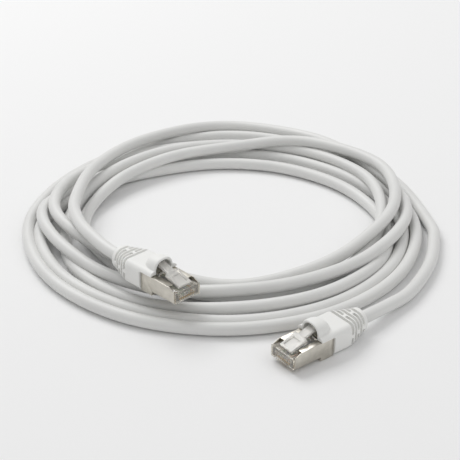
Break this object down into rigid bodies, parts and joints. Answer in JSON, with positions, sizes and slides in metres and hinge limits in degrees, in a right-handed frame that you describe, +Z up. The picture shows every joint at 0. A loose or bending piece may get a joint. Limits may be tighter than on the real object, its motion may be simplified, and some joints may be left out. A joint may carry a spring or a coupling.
{
  "type": "ethernet patch cable",
  "caption": "Coiled grey ethernet patch cable with a shielded, latching modular plug and a ribbed snagless boot on each end.",
  "frame": {"origin": "on the floor, under the middle of the box round both plugs and their boots", "axes": "+Z up; +X to the right and +Y back, seen from the front where both plugs lie"},
  "size_m": [0.1684, 0.1874, 0.0232],
  "materials": {
    "clear": "clear polycarbonate",
    "shield": "nickel-plated sheet",
    "bar": "clear",
    "gold": "gold-plated",
    "braid": "tinned braid",
    "jacket": "satin",
    "boot": "satin",
    "wire_white_orange": "satin",
    "wire_orange": "satin",
    "wire_white_green": "satin",
    "wire_blue": "satin",
    "wire_white_blue": "satin",
    "wire_green": "satin",
    "wire_white_brown": "satin",
    "wire_brown": "satin"
  },
  "bodies": {
    "cable": {"housing_a": "clear", "shield_a": "shield", "load_bar_a": "bar", "jacket_end_a": "jacket", "screen_braid_a": "braid", "crimp_sleeve_a": "shield", "boot_a": "boot", "contact_1_a": "gold", "wire_white_orange_a": "wire_white_orange", "contact_2_a": "gold", "wire_orange_a": "wire_orange", "contact_3_a": "gold", "wire_white_green_a": "wire_white_green", "contact_4_a": "gold", "wire_blue_a": "wire_blue", "contact_5_a": "gold", "wire_white_blue_a": "wire_white_blue", "contact_6_a": "gold", "wire_green_a": "wire_green", "contact_7_a": "gold", "wire_white_brown_a": "wire_white_brown", "contact_8_a": "gold", "wire_brown_a": "wire_brown", "housing_b": "clear", "shield_b": "shield", "load_bar_b": "bar", "jacket_end_b": "jacket", "screen_braid_b": "braid", "crimp_sleeve_b": "shield", "boot_b": "boot", "contact_1_b": "gold", "wire_white_orange_b": "wire_white_orange", "contact_2_b": "gold", "wire_orange_b": "wire_orange", "contact_3_b": "gold", "wire_white_green_b": "wire_white_green", "contact_4_b": "gold", "wire_blue_b": "wire_blue", "contact_5_b": "gold", "wire_white_blue_b": "wire_white_blue", "contact_6_b": "gold", "wire_green_b": "wire_green", "contact_7_b": "gold", "wire_white_brown_b": "wire_white_brown", "contact_8_b": "gold", "wire_brown_b": "wire_brown", "cable_lead_a": "jacket", "cable_coil": "jacket", "cable_lead_b": "jacket"},
    "latch_a": {"latch_a": "clear"},
    "latch_b": {"latch_b": "clear"}
  },
  "joints": [
    {"name": "latch_a_flex", "type": "hinge", "parent": "cable", "child": "latch_a", "pos_m": [-0.01818, 0.00156, 0.01651], "axis": [-0.7006, -0.7116, 0.0523], "range_deg": [0, 8], "stiffness_Nm_per_rad": 0.02},
    {"name": "latch_b_flex", "type": "hinge", "parent": "cable", "child": "latch_b", "pos_m": [0.01606, -0.02289, 0.00665], "axis": [-0.6157, 0.788, 0], "range_deg": [0, 8], "stiffness_Nm_per_rad": 0.02}
  ]
}
